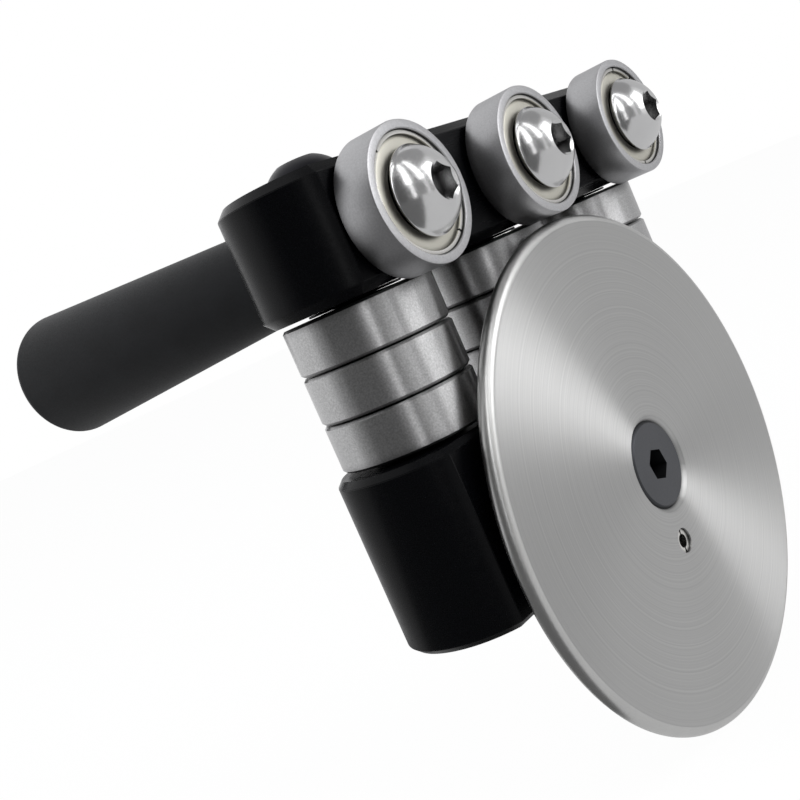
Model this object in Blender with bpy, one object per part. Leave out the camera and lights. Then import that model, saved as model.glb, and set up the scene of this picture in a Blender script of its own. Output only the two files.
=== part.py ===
"""Profile roller bender: a hand tool that folds the edge of a metal sheet.

The sheet lies level and goes in between the rim of the disc below and the three press
bearings above. Its edge meets the three columns of guide bearings, which push it down
behind the disc as the tool is pulled along by its handle.

Axes: +X is the front, where the press bearings face, +Y runs along the two blocks and
+Z is up. Lengths below are in millimetres, and MM makes them metres.
"""
import bpy
import bmesh
import math
from mathutils import Vector

MM = 0.001

# Driving dimensions, in millimetres, from the axis of the middle press bearing
PITCH = 35.0                # distance between neighbouring bearings, along Y
FIT_GAP = 0.1               # gap between two faces that touch
RUN_GAP = 0.3               # gap round a shaft, a thread or a hole

# press bearings, 8 x 22 x 7, on the front of the upper block
PRESS_D = 22.0
PRESS_W = 7.0
PRESS_EDGE = 0.3            # chamfer of their outer edges
PRESS_LIP = 1.45            # wall of the outer ring round the shield
RECESS = 1.3                # how deep the shield's seat is
BORE_D = 8.0
INNER_D = 12.2              # outside of an inner ring

# guide bearings, 8 x 25 x 8 with a thick outer ring, three on each column, face to face
GUIDE_D = 25.0
GUIDE_W = 8.0
GUIDE_EDGE = 0.45           # chamfer of their outer edges
WASHER_D = 15.5             # washers at both ends of a column
END_GAP = 0.5               # room for a washer between a bearing and a block
COLUMN_X = -19.85

# upper block
UPPER_FRONT = -7.5
BLOCK_BACK = -32.5
UPPER_TOP = 9.65
UPPER_BOTTOM = -10.0
END_RADIUS = 14.0
UPPER_END = 16.2            # how far it reaches past the outer bearings
UPPER_HALF = PITCH + UPPER_END
UPPER_CHAMFER = 1.5

# bending disc
DISC_R = 45.0
DISC_T = 3.0
DISC_FRONT = -2.3
RIM_GAP = 0.8               # between its rim and the middle press bearing
DISC_Z = -PRESS_D / 2 - RIM_GAP - DISC_R
DISC_TURN = math.radians(-9.0)   # the disc stands turned a little, as it happens to rest
PIN_RADIUS = 13.7
PIN_D = 4.0

# lower block
LOWER_FRONT = -6.9
LOWER_END = 15.8
LOWER_HALF = PITCH + LOWER_END
LOWER_CHAMFER = 1.0
BELOW_AXIS = 7.0            # from the disc's axis down to its underside
LAYERS = 3
LOWER_TOP = UPPER_BOTTOM - 2 * END_GAP - LAYERS * GUIDE_W
LOWER_BOTTOM = DISC_Z - BELOW_AXIS

# disc hub, which turns in a plain bush, 10 x 12 x 7
HUB_R = 17.0
SPINDLE_D = 10.0
BUSH_D = 12.0
BUSH_L = 7.0

# screws with a button head, M8
THREAD_D = 8.0
HEAD_D = 14.0
HEAD_K = 4.4
HEX_AF = 5.0
HEX_DEPTH = 2.8
SCREW_DEPTH = 6.2           # how far the press screws reach into the block
HEAD_SEAT = 1.65            # the first column's head sits this deep in the upper block
TOP_BOLT_L = 60.0           # first column, screwed in from above
LOW_BOLT_L = 70.0           # the other two columns, screwed in from below

# handle
GRIP_R0 = 7.9               # at the block
GRIP_R1 = 14.5              # at the free end
GRIP_END = -144.2
GRIP_EDGE = 3.0             # rounding of its free end
STUD_D = 10.0
STUD_IN_BLOCK = 7.4
STUD_IN_GRIP = 25.0

# facets of a full turn
ROLLER_STEPS = 26
HOLE_STEPS = 20
SMALL_STEPS = 14
DISC_STEPS = 60
GRIP_STEPS = 36

SHANK_R = THREAD_D / 2 - RUN_GAP
HOLE_R = THREAD_D / 2
BORE_R = BORE_D / 2
COLUMNS = (-PITCH, 0.0, PITCH)

# the part's own origin is the middle of its box
X_MAX = FIT_GAP + HEAD_K
Z_MAX = max(UPPER_TOP - HEAD_SEAT + FIT_GAP + HEAD_K, GRIP_R1)
Z_MIN = DISC_Z - DISC_R
ORIGIN = Vector(((X_MAX + GRIP_END) / 2, 0.0, (Z_MAX + Z_MIN) / 2))


# A clean scene and the frame that every piece hangs from
for old in list(bpy.data.objects):
    bpy.data.objects.remove(old, do_unlink=True)
for old_mesh in list(bpy.data.meshes):
    bpy.data.meshes.remove(old_mesh)

scene = bpy.context.scene
tool_frame = bpy.data.objects.new("tool_frame", None)
tool_frame.empty_display_size = 0.02
tool_frame.location = -ORIGIN * MM
scene.collection.objects.link(tool_frame)


def material(name, colour, roughness, metallic):
    mat = bpy.data.materials.new(name)
    mat.use_nodes = True
    shader = mat.node_tree.nodes["Principled BSDF"]
    shader.inputs["Base Color"].default_value = (*colour, 1.0)
    shader.inputs["Roughness"].default_value = roughness
    shader.inputs["Metallic"].default_value = metallic
    mat.diffuse_color = (*colour, 1.0)
    return mat


BLACK_ANODISED = material("black anodised aluminium", (0.012, 0.013, 0.016), 0.42, 0.4)
GRIP_BLACK = material("matte black grip", (0.016, 0.017, 0.019), 0.6, 0.0)
GROUND_STEEL = material("ground bearing steel", (0.55, 0.55, 0.56), 0.3, 1.0)
SHIELD_STEEL = material("shield sheet steel", (0.62, 0.60, 0.54), 0.35, 1.0)
POLISHED = material("polished stainless screw", (0.66, 0.66, 0.66), 0.14, 1.0)
TURNED = material("turned stainless disc", (0.56, 0.56, 0.55), 0.32, 1.0)
BLACK_OXIDE = material("black screw steel", (0.03, 0.034, 0.042), 0.38, 0.8)
BRONZE = material("bronze bush", (0.45, 0.29, 0.12), 0.4, 1.0)


def place(name, mesh, mat, location, along_x=False, spin=0.0):
    """Link a mesh as a piece. along_x turns its own Z axis to the front."""
    mesh.materials.clear()
    mesh.materials.append(mat)
    piece = bpy.data.objects.new(name, mesh)
    scene.collection.objects.link(piece)
    piece.parent = tool_frame
    piece.location = Vector(location) * MM
    piece.rotation_mode = "ZYX"
    if along_x:
        piece.rotation_euler = (spin, math.pi / 2, 0.0)
    return piece


def finish(bm, name, angle=35.0):
    """Turn a bmesh into a smooth-shaded mesh with sharp edges, in metres."""
    bmesh.ops.recalc_face_normals(bm, faces=bm.faces)
    bmesh.ops.scale(bm, vec=(MM, MM, MM), verts=bm.verts)
    mesh = bpy.data.meshes.new(name)
    bm.to_mesh(mesh)
    bm.free()
    mesh.shade_smooth()
    mesh.set_sharp_from_angle(angle=math.radians(angle))
    return mesh


def turned(name, profile, segments):
    """Spin a profile of (radius, height) round Z. A profile that starts and ends on the
    axis makes a solid, any other one makes a ring."""
    bm = bmesh.new()
    verts = [bm.verts.new((r, 0.0, h)) for r, h in profile]
    edges = [bm.edges.new(pair) for pair in zip(verts[:-1], verts[1:])]
    if profile[0][0] > 0.0:
        edges.append(bm.edges.new((verts[-1], verts[0])))
    bmesh.ops.spin(bm, geom=verts + edges, cent=(0, 0, 0), axis=(0, 0, 1),
                   angle=2 * math.pi, steps=segments, use_duplicate=False)
    bmesh.ops.remove_doubles(bm, verts=bm.verts, dist=0.001)
    return finish(bm, name)


def extruded(name, outline, z0, z1, chamfer=0.0):
    """Push a flat outline up from z0 to z1, with a chamfer round both ends."""
    bm = bmesh.new()
    face = bm.faces.new([bm.verts.new((x, y, z0)) for x, y in outline])
    grown = bmesh.ops.extrude_face_region(bm, geom=[face])
    top = [v for v in grown["geom"] if isinstance(v, bmesh.types.BMVert)]
    bmesh.ops.translate(bm, vec=(0, 0, z1 - z0), verts=top)
    bmesh.ops.recalc_face_normals(bm, faces=bm.faces)
    if chamfer > 0.0:
        rims = [e for e in bm.edges if abs(e.verts[0].co.z - e.verts[1].co.z) < 1e-6]
        bmesh.ops.bevel(bm, geom=rims, offset=chamfer, segments=1, affect="EDGES",
                        clamp_overlap=True)
    return finish(bm, name)


def arc(cx, cy, radius, start, end, steps):
    return [(cx + radius * math.cos(start + (end - start) * i / steps),
             cy + radius * math.sin(start + (end - start) * i / steps))
            for i in range(steps + 1)]


def cut(piece, cutter_mesh, location, along_x=False, spin=0.0, operation="DIFFERENCE"):
    """Cut one piece with a guide shape, or weld the shape to it."""
    guide = place(piece.name + "_guide", cutter_mesh, piece.data.materials[0], location,
                  along_x, spin)
    guide.hide_render = True
    guide.display_type = "WIRE"
    boolean = piece.modifiers.new("shape", "BOOLEAN")
    boolean.operation = operation
    boolean.solver = "EXACT"
    boolean.object = guide
    return guide


def hexagon(name, across_flats, height):
    radius = across_flats / math.sqrt(3.0)
    outline = [(radius * math.cos(math.pi / 3 * i), radius * math.sin(math.pi / 3 * i))
               for i in range(6)]
    return extruded(name, outline, 0.0, height)


# The two blocks
def block_outline(front, half):
    """Plan of a block: flat front, flat back, and round ends that run into the back."""
    centre_x = BLOCK_BACK + END_RADIUS
    centre_y = half - END_RADIUS
    lean = math.asin(min(0.98, (front - centre_x) / END_RADIUS))
    start = math.pi / 2 - lean
    right = arc(centre_x, centre_y, END_RADIUS, start, math.pi, 14)
    left = [(x, -y) for x, y in reversed(right)]
    return right + left


def add_block(name, front, half, bottom, top, chamfer):
    mesh = extruded(name, block_outline(front, half), bottom, top, chamfer)
    return place(name, mesh, BLACK_ANODISED, (0, 0, 0))


upper_block = add_block("upper_block", UPPER_FRONT, UPPER_HALF, UPPER_BOTTOM, UPPER_TOP,
                        UPPER_CHAMFER)
lower_block = add_block("lower_block", LOWER_FRONT, LOWER_HALF, LOWER_BOTTOM, LOWER_TOP,
                        LOWER_CHAMFER)

# low round seats on the front, which only the inner rings touch
seat_r = INNER_D / 2 - 0.3
front_seat_x = -PRESS_W - FIT_GAP
front_seat = turned("front_seat", [(0, 0), (seat_r, 0),
                                   (seat_r, front_seat_x - UPPER_FRONT + 1.0),
                                   (0, front_seat_x - UPPER_FRONT + 1.0)], HOLE_STEPS)
for y in COLUMNS:
    cut(upper_block, front_seat, (UPPER_FRONT - 1.0, y, 0), True, 0.0, "UNION")

# tapped holes for the press screws
press_hole = turned("press_hole", [(0, -SCREW_DEPTH - RUN_GAP), (HOLE_R, -SCREW_DEPTH),
                                   (HOLE_R, 3.0), (0, 3.0)], SMALL_STEPS)

# The first column's bolt comes from above. Its head has a round seat in the upper block
# and its end a tapped blind hole in the lower one. The other two come from below and end
# in the upper block, so that nothing stands out of its top above the handle.
top_seat = UPPER_TOP - HEAD_SEAT
top_bolt_end = top_seat + FIT_GAP - TOP_BOLT_L
low_bolt_end = LOWER_BOTTOM - FIT_GAP + LOW_BOLT_L


def round_hole(name, radius, low, high):
    return turned(name, [(0, low), (radius, low), (radius, high), (0, high)], SMALL_STEPS)


seated_hole = turned("seated_hole", [
    (0, UPPER_BOTTOM - 2), (HOLE_R, UPPER_BOTTOM - 2), (HOLE_R, top_seat),
    (HEAD_D / 2 + 0.4, top_seat), (HEAD_D / 2 + 0.4, UPPER_TOP + 2), (0, UPPER_TOP + 2)],
    HOLE_STEPS)
upper_blind = round_hole("upper_blind", HOLE_R, UPPER_BOTTOM - 2, low_bolt_end + RUN_GAP)
lower_blind = round_hole("lower_blind", HOLE_R, top_bolt_end - RUN_GAP, LOWER_TOP + 2)
lower_through = round_hole("lower_through", HOLE_R, LOWER_BOTTOM - 2, LOWER_TOP + 2)
for y in COLUMNS:
    from_above = y == COLUMNS[0]
    cut(upper_block, press_hole, (UPPER_FRONT, y, 0), True)
    cut(upper_block, seated_hole if from_above else upper_blind, (COLUMN_X, y, 0))
    cut(lower_block, lower_blind if from_above else lower_through, (COLUMN_X, y, 0))

# blind hole for the handle's stud, from the back
stud_hole = turned("stud_hole", [(0, -2.0), (STUD_D / 2, -2.0),
                                 (STUD_D / 2, STUD_IN_BLOCK + 0.3),
                                 (0, STUD_IN_BLOCK + 0.3)], HOLE_STEPS)
cut(upper_block, stud_hole, (BLOCK_BACK, 0, 0), True)

# blind hole for the bush that the disc's hub turns in
bush_front = LOWER_FRONT - FIT_GAP
bush_back = bush_front - BUSH_L
bush_hole = turned("bush_hole", [(0, bush_back - RUN_GAP),
                                 (BUSH_D / 2 + FIT_GAP, bush_back - RUN_GAP),
                                 (BUSH_D / 2 + FIT_GAP, LOWER_FRONT + 2),
                                 (0, LOWER_FRONT + 2)], HOLE_STEPS)
cut(lower_block, bush_hole, (0, 0, DISC_Z), True)


# Button-head screws
def head_profile(top, steps=3):
    """Half outline of a button head that sits on height 0, from its rim to the axis."""
    flat = 3.0
    rim = 0.5
    edge = HEAD_D / 2
    centre = (flat * flat + top * top - edge * edge - rim * rim) / (2 * (top - rim))
    radius = math.hypot(edge, rim - centre)
    points = []
    for i in range(steps + 1):
        r = edge - (edge - flat) * i / steps
        points.append((r, centre + math.sqrt(radius * radius - r * r)))
    return points + [(0.0, top)]


def button_screw(name, length, segments=HOLE_STEPS):
    profile = [(0.0, -length), (SHANK_R - 0.5, -length), (SHANK_R, -length + 0.6),
               (SHANK_R, 0.0), (HEAD_D / 2, 0.0)] + head_profile(HEAD_K)
    return turned(name, profile, segments)


socket = hexagon("hex_socket", HEX_AF, HEX_DEPTH + 1.0)


def add_button_screw(name, mesh, location, along_x, flip=False, spin=0.0):
    piece = place(name, mesh.copy(), POLISHED, location, along_x, spin)
    depth = HEAD_K - HEX_DEPTH
    if along_x:
        cut(piece, socket, (location[0] + depth, location[1], location[2]), True, spin)
    elif flip:
        piece.rotation_euler = (math.pi, 0.0, 0.0)
        guide = cut(piece, socket, (location[0], location[1], location[2] - depth))
        guide.rotation_euler = (math.pi, 0.0, 0.0)
    else:
        cut(piece, socket, (location[0], location[1], location[2] + depth))
    return piece


# Press bearings: shaft along X, the outer ring turns
def bearing_ring(name, outer_d, width, segments, edge, recess):
    """Outer ring with its balls and cage as one solid; recess makes room for a shield."""
    half = width / 2
    inner = INNER_D / 2 + 0.4
    profile = [(outer_d / 2 - edge, half), (outer_d / 2, half - edge),
               (outer_d / 2, -half + edge), (outer_d / 2 - edge, -half), (inner, -half)]
    if recess > 0.0:
        lip = outer_d / 2 - PRESS_LIP
        profile += [(inner, half - recess), (lip, half - recess), (lip, half)]
    else:
        profile += [(inner, half)]
    return turned(name, profile, segments)


def inner_ring(name, bore_r, outer_r, width, segments=SMALL_STEPS):
    half = width / 2
    return turned(name, [(bore_r, -half), (outer_r, -half), (outer_r, half),
                         (bore_r, half)], segments)


lip_r = PRESS_D / 2 - PRESS_LIP
press_ring_mesh = bearing_ring("press_roller", PRESS_D, PRESS_W, ROLLER_STEPS, PRESS_EDGE,
                               RECESS)
press_inner_mesh = inner_ring("press_inner", BORE_R, INNER_D / 2, PRESS_W)
shield_floor = PRESS_W / 2 - RECESS + FIT_GAP
press_shield_mesh = turned("press_shield", [
    (INNER_D / 2 + 0.25, shield_floor), (INNER_D / 2 + 0.25, shield_floor + 0.45),
    (lip_r - 1.1, shield_floor + 0.45), (lip_r - 0.7, shield_floor + 0.3),
    (lip_r - FIT_GAP, shield_floor + 0.3), (lip_r - FIT_GAP, shield_floor)],
                           ROLLER_STEPS)
gap_angle = math.radians(24)
retainer_outline = (
    arc(0, 0, lip_r - FIT_GAP, gap_angle / 2, 2 * math.pi - gap_angle / 2, 18)
    + arc(0, 0, lip_r - 0.6, 2 * math.pi - gap_angle / 2, gap_angle / 2, 18))
press_retainer_mesh = extruded("press_retainer", retainer_outline, shield_floor + 0.4,
                               shield_floor + 0.85)
press_screw_mesh = button_screw("press_screw", PRESS_W + 2 * FIT_GAP + SCREW_DEPTH)

for i, y in enumerate(COLUMNS, start=1):
    centre = (-PRESS_W / 2, y, 0)
    place(f"press_roller_{i}", press_ring_mesh, GROUND_STEEL, centre, True)
    place(f"press_inner_ring_{i}", press_inner_mesh, GROUND_STEEL, centre, True)
    place(f"press_shield_{i}", press_shield_mesh, SHIELD_STEEL, centre, True)
    place(f"press_retainer_{i}", press_retainer_mesh, SHIELD_STEEL, centre, True,
          math.radians(40 * i))
    add_button_screw(f"press_screw_{i}", press_screw_mesh, (FIT_GAP, y, 0), True, False,
                     math.radians(15 * i))


# Columns of guide bearings: shaft along Z, the outer rings turn a little short of each
# other, and the inner rings and the two washers are clamped between the blocks
guide_ring_mesh = bearing_ring("guide_roller", GUIDE_D, GUIDE_W - RUN_GAP, ROLLER_STEPS,
                               GUIDE_EDGE, 0.0)
guide_inner_mesh = inner_ring("guide_inner", BORE_R, INNER_D / 2, GUIDE_W - FIT_GAP)
washer_t = END_GAP - 1.5 * FIT_GAP
washer_off = FIT_GAP + washer_t / 2
washer_mesh = inner_ring("washer", BORE_R, WASHER_D / 2, washer_t, HOLE_STEPS)
top_bolt_mesh = button_screw("top_bolt", TOP_BOLT_L)
low_bolt_mesh = button_screw("low_bolt", LOW_BOLT_L)

LAYER_NAMES = ("top", "middle", "bottom")
for i, y in enumerate(COLUMNS, start=1):
    for layer in range(LAYERS):
        centre = (COLUMN_X, y, UPPER_BOTTOM - END_GAP - (layer + 0.5) * GUIDE_W)
        tag = f"{i}_{LAYER_NAMES[layer]}"
        place(f"guide_roller_{tag}", guide_ring_mesh, GROUND_STEEL, centre)
        place(f"guide_inner_ring_{tag}", guide_inner_mesh, GROUND_STEEL, centre)
    place(f"guide_spacer_{i}_top", washer_mesh, BLACK_OXIDE,
          (COLUMN_X, y, UPPER_BOTTOM - washer_off))
    place(f"guide_spacer_{i}_bottom", washer_mesh, BLACK_OXIDE,
          (COLUMN_X, y, LOWER_TOP + washer_off))
    if i == 1:
        add_button_screw(f"column_bolt_{i}", top_bolt_mesh,
                         (COLUMN_X, y, top_seat + FIT_GAP), False)
    else:
        add_button_screw(f"column_bolt_{i}", low_bolt_mesh,
                         (COLUMN_X, y, LOWER_BOTTOM - FIT_GAP), False, True)


# Bending disc, its hub, screw and pin: they turn about X
disc_centre_x = DISC_FRONT - DISC_T / 2
rim = DISC_T / 2
sink_r = 8.5
rim_arc = arc(DISC_R - rim, 0.0, rim, -math.pi / 2, math.pi / 2, 4)
disc_profile = [(sink_r, DISC_T / 2), (sink_r - DISC_T, -DISC_T / 2)] + rim_arc
disc = place("bending_disc", turned("bending_disc", disc_profile, DISC_STEPS), TURNED,
             (disc_centre_x, 0, DISC_Z), True, DISC_TURN)

# the pin stands below the centre, in the disc's own turned frame
pin_y = PIN_RADIUS * math.sin(DISC_TURN)
pin_z = DISC_Z - PIN_RADIUS * math.cos(DISC_TURN)
pin_reach = 3 * DISC_T
pin_hole = turned("pin_hole", [(0, -pin_reach), (PIN_D / 2 + 0.15, -pin_reach),
                               (PIN_D / 2 + 0.15, pin_reach), (0, pin_reach)],
                  SMALL_STEPS)
cut(disc, pin_hole, (disc_centre_x, pin_y, pin_z), True)

flange_front = DISC_FRONT - DISC_T - FIT_GAP
hub_back = LOWER_FRONT + RUN_GAP
cone_r = sink_r - DISC_T - FIT_GAP
spindle_r = SPINDLE_D / 2 - FIT_GAP
hub_profile = [
    (HOLE_R, bush_back), (spindle_r, bush_back), (spindle_r, hub_back),
    (HUB_R, hub_back), (HUB_R, flange_front), (cone_r, flange_front),
    (HOLE_R, flange_front - (cone_r - HOLE_R))]
hub = place("disc_hub", turned("disc_hub", hub_profile, ROLLER_STEPS), BLACK_OXIDE,
            (0, 0, DISC_Z), True)
cut(hub, pin_hole, (hub_back, pin_y, pin_z), True)
place("disc_bush", inner_ring("disc_bush", SPINDLE_D / 2, BUSH_D / 2, BUSH_L, HOLE_STEPS),
      BRONZE, ((bush_front + bush_back) / 2, 0, DISC_Z), True)

# countersunk screw M8, a little below the disc's face
sink_depth = 0.3
land = 0.25
csk_r = sink_r - sink_depth - land - 0.15
csk_top = DISC_FRONT - sink_depth
cone_depth = csk_r - SHANK_R
disc_screw_profile = [
    (0.0, bush_back + 0.4 - csk_top), (SHANK_R - 0.5, bush_back + 0.4 - csk_top),
    (SHANK_R, bush_back + 1.0 - csk_top), (SHANK_R, -cone_depth - land),
    (csk_r, -land), (csk_r, 0.0), (0.0, 0.0)]
disc_screw = place("disc_screw", turned("disc_screw", disc_screw_profile, ROLLER_STEPS),
                   BLACK_OXIDE, (csk_top, 0, DISC_Z), True, DISC_TURN)
cut(disc_screw, socket, (csk_top - 3.0, 0, DISC_Z), True, DISC_TURN)

# slotted spring pin
slot = math.radians(28)
pin_outline = (arc(0, 0, PIN_D / 2, slot / 2, 2 * math.pi - slot / 2, 12)
               + arc(0, 0, PIN_D / 2 - 0.8, 2 * math.pi - slot / 2, slot / 2, 12))
pin_mesh = extruded("disc_pin", pin_outline, hub_back, DISC_FRONT - 0.4)
place("disc_pin", pin_mesh, BLACK_OXIDE, (0, pin_y, pin_z), True, DISC_TURN)


# Handle
grip_length = BLOCK_BACK - FIT_GAP - GRIP_END
end_arc = [(GRIP_R1 - GRIP_EDGE + GRIP_EDGE * math.cos(a),
            grip_length - GRIP_EDGE + GRIP_EDGE * math.sin(a))
           for a in [math.pi / 2 * i / 4 for i in range(5)]]
grip_profile = [(0.0, STUD_IN_GRIP + 1.0), (STUD_D / 2, STUD_IN_GRIP + 1.0),
                (STUD_D / 2, 0.0), (GRIP_R0 - 0.6, 0.0), (GRIP_R0, 0.6)] + end_arc
grip_profile.append((0.0, grip_length))
grip = place("handle_grip", turned("handle_grip", grip_profile, GRIP_STEPS), GRIP_BLACK,
             (BLOCK_BACK - FIT_GAP, 0, 0))
grip.rotation_euler = (0.0, -math.pi / 2, 0.0)

stud_r = STUD_D / 2 - RUN_GAP
stud_length = STUD_IN_BLOCK + STUD_IN_GRIP
stud_mesh = turned("handle_stud", [
    (0.0, 0.0), (stud_r - 0.6, 0.0), (stud_r, 0.7), (stud_r, stud_length - 0.7),
    (stud_r - 0.6, stud_length), (0.0, stud_length)], HOLE_STEPS)
place("handle_stud", stud_mesh, BLACK_OXIDE, (BLOCK_BACK - STUD_IN_GRIP, 0, 0), True)
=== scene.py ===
# %% [markdown]
# # A profile roller bender
# The tool folds the edge of a metal sheet. Two black blocks hold three columns of steel
# guide rollers between them. Three press rollers turn on the front of the upper block,
# a large thin disc turns on the front of the lower one, and a tapered handle pulls the
# whole tool along the sheet.
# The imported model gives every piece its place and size. This notebook dresses it: fine
# round shapes in place of the faceted ones, and a finish for each material.

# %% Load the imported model
import math

import bmesh
import bpy
from mathutils import Matrix, Vector


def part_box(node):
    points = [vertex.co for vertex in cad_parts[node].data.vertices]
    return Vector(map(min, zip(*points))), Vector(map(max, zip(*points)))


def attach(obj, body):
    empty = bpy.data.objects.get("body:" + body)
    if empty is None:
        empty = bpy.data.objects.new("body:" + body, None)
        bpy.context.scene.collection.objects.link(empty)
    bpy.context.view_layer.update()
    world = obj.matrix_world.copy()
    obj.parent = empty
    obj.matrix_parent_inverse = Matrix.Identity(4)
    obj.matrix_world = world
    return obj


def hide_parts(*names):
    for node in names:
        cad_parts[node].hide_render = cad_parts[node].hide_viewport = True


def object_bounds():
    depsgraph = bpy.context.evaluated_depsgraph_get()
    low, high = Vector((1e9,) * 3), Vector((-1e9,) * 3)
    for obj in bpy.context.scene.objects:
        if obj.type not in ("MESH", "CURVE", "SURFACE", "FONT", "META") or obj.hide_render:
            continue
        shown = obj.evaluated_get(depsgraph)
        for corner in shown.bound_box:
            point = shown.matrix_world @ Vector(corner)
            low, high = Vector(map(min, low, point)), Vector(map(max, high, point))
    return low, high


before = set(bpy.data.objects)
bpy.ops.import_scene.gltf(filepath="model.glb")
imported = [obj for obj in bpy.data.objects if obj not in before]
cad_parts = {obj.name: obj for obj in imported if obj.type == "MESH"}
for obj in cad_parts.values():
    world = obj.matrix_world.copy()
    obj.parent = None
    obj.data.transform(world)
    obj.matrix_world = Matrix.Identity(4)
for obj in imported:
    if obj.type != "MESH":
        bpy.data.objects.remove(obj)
cad_box = [list(corner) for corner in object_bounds()]
scene = bpy.context.scene
MM = 0.001
print("the model's box in metres:", cad_box)


# %% A helper that reads places from the model
def middle(node):
    low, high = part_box(node)
    return (low + high) / 2


def low_corner(node):
    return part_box(node)[0]


def high_corner(node):
    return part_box(node)[1]


# %% [markdown]
# ## Camera
# The photograph was taken from close by, a little above the rollers, with the camera
# rolled to one side. Its place, direction and lens were worked out from the outlines of
# the disc, the rollers and the blocks.

# %% Camera
camera_data = bpy.data.cameras.new("camera")
camera_data.sensor_width = 36.0
camera_data.lens = 55.04
camera_data.clip_start = 0.01
camera = bpy.data.objects.new("camera", camera_data)
scene.collection.objects.link(camera)
camera_forward = Vector((-0.6513072, 0.7526171, -0.0967803)).normalized()
camera_up = Vector((0.2466024, 0.3305542, 0.9110001)).normalized()
camera_right = camera_forward.cross(camera_up)
camera_turn = Matrix((camera_right, camera_up, -camera_forward)).transposed().to_4x4()
camera.matrix_world = Matrix.Translation((0.17409, -0.17832, 0.03458)) @ camera_turn
scene.camera = camera
scene.view_settings.view_transform = "Standard"

# %% [markdown]
# ## White studio
# The background is plain white: the world and the floor are white to the camera and in
# reflections. Polished and ground metal only looks like metal when it has something to
# reflect, so a small room of cards stands round the tool, seen by reflections alone: dark
# and pale walls, a window, two bright strips, a pair of lamps above them, a ceiling and
# the top of a table.


# %% World and floor
def seen_directly(nodes, links):
    """1 for rays from the camera, in reflections and through glass, otherwise 0."""
    path = nodes.new("ShaderNodeLightPath")
    first = nodes.new("ShaderNodeMath")
    first.operation = "MAXIMUM"
    second = nodes.new("ShaderNodeMath")
    second.operation = "MAXIMUM"
    links.new(path.outputs["Is Camera Ray"], first.inputs[0])
    links.new(path.outputs["Is Glossy Ray"], first.inputs[1])
    links.new(first.outputs[0], second.inputs[0])
    links.new(path.outputs["Is Transmission Ray"], second.inputs[1])
    return second.outputs[0]


world = bpy.data.worlds.new("white room")
world.use_nodes = True
world_nodes = world.node_tree.nodes
world_links = world.node_tree.links
room_light = world_nodes["Background"]
room_light.inputs["Color"].default_value = (0.9, 0.95, 1.0, 1.0)
room_light.inputs["Strength"].default_value = 0.45
white_back = world_nodes.new("ShaderNodeBackground")
white_back.inputs["Color"].default_value = (1.0, 1.0, 1.0, 1.0)
white_back.inputs["Strength"].default_value = 1.0
world_mix = world_nodes.new("ShaderNodeMixShader")
world_links.new(seen_directly(world_nodes, world_links), world_mix.inputs[0])
world_links.new(room_light.outputs[0], world_mix.inputs[1])
world_links.new(white_back.outputs[0], world_mix.inputs[2])
world_links.new(world_mix.outputs[0], world_nodes["World Output"].inputs["Surface"])
scene.world = world

floor_paint = bpy.data.materials.new("white floor")
floor_paint.use_nodes = True
floor_nodes = floor_paint.node_tree.nodes
floor_links = floor_paint.node_tree.links
floor_nodes.remove(floor_nodes["Principled BSDF"])
floor_shade = floor_nodes.new("ShaderNodeBsdfDiffuse")
floor_shade.inputs["Color"].default_value = (0.85, 0.85, 0.85, 1.0)
floor_glow = floor_nodes.new("ShaderNodeEmission")
floor_glow.inputs["Strength"].default_value = 1.0
floor_share = floor_nodes.new("ShaderNodeMath")
floor_share.operation = "MULTIPLY"
floor_share.inputs[1].default_value = 0.97
floor_mix = floor_nodes.new("ShaderNodeMixShader")
floor_links.new(seen_directly(floor_nodes, floor_links), floor_share.inputs[0])
floor_links.new(floor_share.outputs[0], floor_mix.inputs[0])
floor_links.new(floor_shade.outputs[0], floor_mix.inputs[1])
floor_links.new(floor_glow.outputs[0], floor_mix.inputs[2])
floor_links.new(floor_mix.outputs[0], floor_nodes["Material Output"].inputs["Surface"])

FLOOR_Z = cad_box[0][2]
FLOOR_SIZE = 6.0
floor_mesh = bpy.data.meshes.new("floor")
half = FLOOR_SIZE / 2
floor_mesh.from_pydata([(-half, -half, FLOOR_Z), (half, -half, FLOOR_Z),
                        (half, half, FLOOR_Z), (-half, half, FLOOR_Z)], [], [(0, 1, 2, 3)])
floor_mesh.materials.append(floor_paint)
floor = bpy.data.objects.new("floor", floor_mesh)
scene.collection.objects.link(floor)
print("floor at", round(FLOOR_Z, 4))


# %% Reflector cards
cards = []


def card_paint(name, level):
    paint = bpy.data.materials.new(name)
    paint.use_nodes = True
    nodes = paint.node_tree.nodes
    nodes.remove(nodes["Principled BSDF"])
    glow = nodes.new("ShaderNodeEmission")
    glow.inputs["Color"].default_value = (*level, 1.0)
    glow.inputs["Strength"].default_value = 1.0
    paint.node_tree.links.new(glow.outputs[0], nodes["Material Output"].inputs["Surface"])
    return paint


def add_card(name, points, quads, level):
    """A flat or curved card that is only seen in reflections."""
    mesh = bpy.data.meshes.new(name)
    mesh.from_pydata(points, [], quads)
    mesh.materials.append(card_paint(name, level))
    card = bpy.data.objects.new(name, mesh)
    scene.collection.objects.link(card)
    card.visible_camera = False
    card.visible_diffuse = False
    card.visible_shadow = False
    card.visible_transmission = False
    cards.append(card)


def add_sector(name, start, end, near, far, level):
    """A card from one compass angle to another, between two (radius, height) pairs."""
    steps = max(2, int((end - start) / 4))
    points = []
    for i in range(steps + 1):
        a = math.radians(start + (end - start) * i / steps)
        for radius, height in (near, far):
            points.append((radius * math.cos(a), radius * math.sin(a), height))
    quads = [(2 * i, 2 * i + 1, 2 * i + 3, 2 * i + 2) for i in range(steps)]
    add_card(name, points, quads, (level, level, level * 1.01))


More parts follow.
